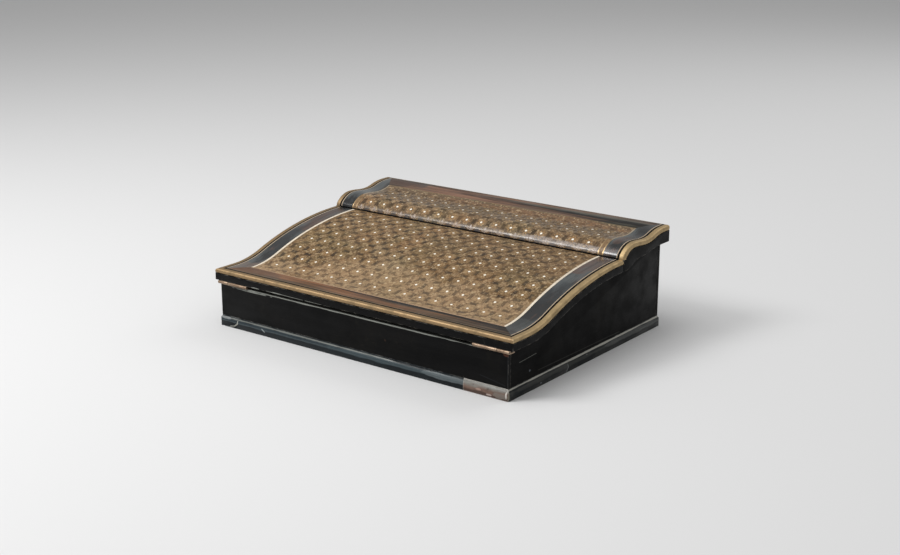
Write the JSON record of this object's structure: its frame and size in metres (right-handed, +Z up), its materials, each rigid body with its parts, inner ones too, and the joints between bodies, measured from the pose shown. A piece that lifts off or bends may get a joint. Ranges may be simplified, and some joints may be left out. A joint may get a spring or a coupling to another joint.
{
  "type": "writing box",
  "caption": "Black table writing box with a hinged S-curved slope lid, a hinged rear lid with a rounded nose, geometric inlay, brass edge mouldings, a paper well, a pen tray and two inkwells.",
  "frame": {"origin": "on the table under the middle of the box's bounding box", "axes": "+X to the right along the hinges, +Y from the front edge to the back, +Z up"},
  "size_m": [0.4, 0.2992, 0.1146],
  "materials": {
    "ebonised_wood": "worn polish",
    "bare_wood": "bare, worn",
    "interior_wood": "satin",
    "inlaid_field": "polished inlay",
    "dark_banding": "polished",
    "pale_stringing": "polished",
    "moulding_brass": "aged",
    "hinge_brass": "rubbed",
    "inkwell_glass": "clear",
    "inkwell_brass": "aged",
    "lining_leather": "matt",
    "lining_paper": "aged"
  },
  "bodies": {
    "case": {"front_wall": "ebonised_wood", "back_wall": "ebonised_wood", "left_wall": "ebonised_wood", "right_wall": "ebonised_wood", "plinth_front_left_end": "ebonised_wood", "plinth_front": "ebonised_wood", "plinth_left": "ebonised_wood", "plinth_right_front": "ebonised_wood", "plinth_right_rear": "ebonised_wood", "plinth_back": "ebonised_wood", "plinth_front_repair": "bare_wood", "bottom_board": "interior_wood", "partition": "interior_wood", "left_divider": "interior_wood", "right_divider": "interior_wood", "nib_box_rails": "interior_wood", "pen_tray": "interior_wood", "pen_tray_cleats": "interior_wood", "left_front_hinge_case_leaf": "hinge_brass", "left_rear_hinge_case_leaf": "hinge_brass", "right_front_hinge_case_leaf": "hinge_brass", "right_rear_hinge_case_leaf": "hinge_brass", "front_hinge_pins": "hinge_brass", "rear_hinge_pins": "hinge_brass", "front_hinge_case_screws": "hinge_brass", "rear_hinge_case_screws": "hinge_brass", "left_inkwell_glass": "inkwell_glass", "right_inkwell_glass": "inkwell_glass", "left_inkwell_collar": "inkwell_brass", "right_inkwell_collar": "inkwell_brass", "inkwell_cap_pins": "inkwell_brass", "paper_well_lining": "lining_paper"},
    "slope_lid": {"slope_lid_board": "ebonised_wood", "slope_lid_field": "inlaid_field", "slope_lid_left_border": "dark_banding", "slope_lid_right_border": "dark_banding", "slope_lid_front_border": "dark_banding", "slope_lid_stringing": "pale_stringing", "slope_lid_left_moulding": "moulding_brass", "slope_lid_right_moulding": "moulding_brass", "slope_lid_front_moulding": "moulding_brass", "slope_lid_lining": "lining_leather", "left_front_hinge_lid_leaf": "hinge_brass", "right_front_hinge_lid_leaf": "hinge_brass", "front_hinge_lid_screws": "hinge_brass"},
    "rear_lid": {"rear_lid_board": "ebonised_wood", "rear_lid_field": "inlaid_field", "rear_lid_left_border": "dark_banding", "rear_lid_right_border": "dark_banding", "rear_lid_back_border": "dark_banding", "rear_lid_stringing": "pale_stringing", "rear_lid_left_moulding": "moulding_brass", "rear_lid_right_moulding": "moulding_brass", "rear_lid_lining": "lining_leather", "left_rear_hinge_lid_leaf": "hinge_brass", "right_rear_hinge_lid_leaf": "hinge_brass", "rear_hinge_lid_screws": "hinge_brass"},
    "left_cap": {"left_inkwell_cap": "inkwell_brass"},
    "right_cap": {"right_inkwell_cap": "inkwell_brass"}
  },
  "joints": [
    {"name": "slope_lid_hinge", "type": "hinge", "parent": "case", "child": "slope_lid", "pos_m": [0, -0.1478, 0.05], "axis": [1, 0, 0], "range_deg": [0, 180]},
    {"name": "rear_lid_hinge", "type": "hinge", "parent": "case", "child": "rear_lid", "pos_m": [0, 0.1442, 0.0946], "axis": [-1, 0, 0], "range_deg": [0, 120]},
    {"name": "left_cap_hinge", "type": "hinge", "parent": "case", "child": "left_cap", "pos_m": [-0.1605, 0.12085, 0.0536], "axis": [-1, 0, 0], "range_deg": [0, 95]},
    {"name": "right_cap_hinge", "type": "hinge", "parent": "case", "child": "right_cap", "pos_m": [0.1605, 0.12085, 0.0536], "axis": [-1, 0, 0], "range_deg": [0, 95]}
  ]
}
